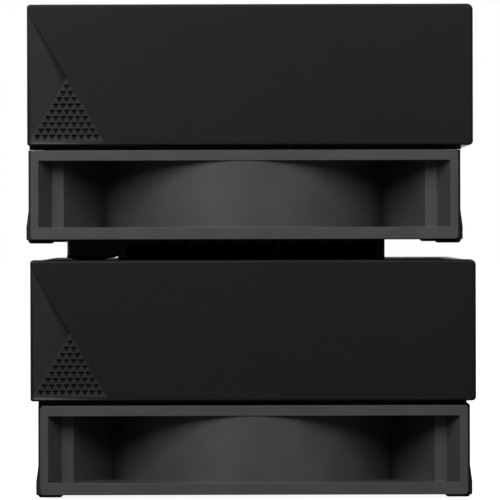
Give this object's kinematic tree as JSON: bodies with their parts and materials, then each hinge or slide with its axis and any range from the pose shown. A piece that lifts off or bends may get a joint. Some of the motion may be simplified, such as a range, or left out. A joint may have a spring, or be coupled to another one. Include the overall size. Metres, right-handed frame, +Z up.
{
  "type": "nas enclosure",
  "caption": "Stacking desktop storage enclosure: flat black drive bays with a faceted corner on grey scooped cooling bases, joined by a narrow riser.",
  "frame": {"origin": "centre of the bounding box's bottom face, on the surface the feet stand on", "axes": "+Z up, the front faces -Y, +X to the right as seen from the front"},
  "size_m": [0.1212, 0.18, 0.1331],
  "materials": {
    "fascia_black": "satin, faintly leathery moulded black",
    "scoop_grey": "fine spark-eroded grain, dark grey",
    "shell_black": "fine matte grain",
    "riser_black": "matte",
    "case_paint": "black powder coat",
    "deck_steel": "zinc-plated sheet",
    "bare_steel": "zinc-plated sheet",
    "rubber": "matte rubber",
    "blower_black": "glass-filled plastic",
    "tray_black": "moulded matte",
    "drive_aluminium": "cast and machined",
    "drive_steel": "stamped cover",
    "sink_aluminium": "extruded",
    "screw_steel": "nickel-plated",
    "board_green": "solder mask",
    "socket_metal": "tinned shell",
    "socket_black": "moulded",
    "pin_white": "acetal",
    "button_black": "polished",
    "lead_black": "sleeved lead"
  },
  "bodies": {
    "lower_module": {"lower_base_shell": "shell_black", "lower_scoop": "scoop_grey", "lower_base_deck": "deck_steel", "lower_feet": "rubber", "lower_isolation_pads": "rubber", "lower_blower_housing": "blower_black", "lower_blower_cover": "blower_black", "lower_case_screws": "screw_steel", "lower_bay_lid": "case_paint", "lower_bay_floor": "bare_steel", "lower_rear_grille": "case_paint", "lower_backplane": "board_green", "lower_sata_receptacle": "socket_black", "lower_latch_body": "socket_black", "lower_rear_panel": "case_paint", "main_board": "board_green", "heat_sink": "sink_aluminium", "lan_jack": "socket_metal", "usb_ports": "socket_metal", "power_jack": "socket_black", "button_guide": "socket_black", "link_socket": "socket_black"},
    "lower_drawer": {"lower_fascia": "fascia_black", "lower_drive_tray": "tray_black", "lower_drive_casting": "drive_aluminium", "lower_drive_cover": "drive_steel", "lower_drive_board": "board_green", "lower_drive_screws": "screw_steel"},
    "lower_blower": {"lower_blower_rotor": "blower_black"},
    "lower_latch": {"lower_latch_plunger": "pin_white"},
    "power_button": {"power_button": "button_black"},
    "upper_module": {"upper_base_shell": "shell_black", "upper_scoop": "scoop_grey", "upper_base_deck": "deck_steel", "upper_feet": "rubber", "upper_isolation_pads": "rubber", "upper_blower_housing": "blower_black", "upper_blower_cover": "blower_black", "upper_case_screws": "screw_steel", "upper_bay_lid": "case_paint", "upper_bay_floor": "bare_steel", "upper_rear_grille": "case_paint", "upper_backplane": "board_green", "upper_sata_receptacle": "socket_black", "upper_latch_body": "socket_black", "upper_rear_panel": "case_paint", "riser_frame": "riser_black", "riser_bumper": "rubber", "jumper_lead": "lead_black", "link_board": "board_green", "link_plug": "socket_black"},
    "upper_drawer": {"upper_fascia": "fascia_black", "upper_drive_tray": "tray_black", "upper_drive_casting": "drive_aluminium", "upper_drive_cover": "drive_steel", "upper_drive_board": "board_green", "upper_drive_screws": "screw_steel"},
    "upper_blower": {"upper_blower_rotor": "blower_black"},
    "upper_latch": {"upper_latch_plunger": "pin_white"}
  },
  "joints": [
    {"name": "upper_module_lift", "type": "slide", "parent": "lower_module", "child": "upper_module", "axis": [0, 0, 1], "range_m": [0, 0.06]},
    {"name": "power_button_press", "type": "slide", "parent": "lower_module", "child": "power_button", "axis": [0, -1, 0], "range_m": [0, 0.001], "stiffness_N_per_m": 400},
    {"name": "lower_drawer_slide", "type": "slide", "parent": "lower_module", "child": "lower_drawer", "axis": [0, -1, 0], "range_m": [0, 0.145]},
    {"name": "lower_blower_spin", "type": "hinge", "parent": "lower_module", "child": "lower_blower", "pos_m": [0.00075, -0.0479, 0.008], "axis": [0, 0, 1], "continuous": true},
    {"name": "lower_latch_press", "type": "slide", "parent": "lower_module", "child": "lower_latch", "axis": [0, 1, 0], "range_m": [0, 0.002], "stiffness_N_per_m": 300},
    {"name": "upper_drawer_slide", "type": "slide", "parent": "upper_module", "child": "upper_drawer", "axis": [0, -1, 0], "range_m": [0, 0.145]},
    {"name": "upper_blower_spin", "type": "hinge", "parent": "upper_module", "child": "upper_blower", "pos_m": [-0.0017, -0.0479, 0.0768], "axis": [0, 0, 1], "continuous": true},
    {"name": "upper_latch_press", "type": "slide", "parent": "upper_module", "child": "upper_latch", "axis": [0, 1, 0], "range_m": [0, 0.002], "stiffness_N_per_m": 300}
  ]
}
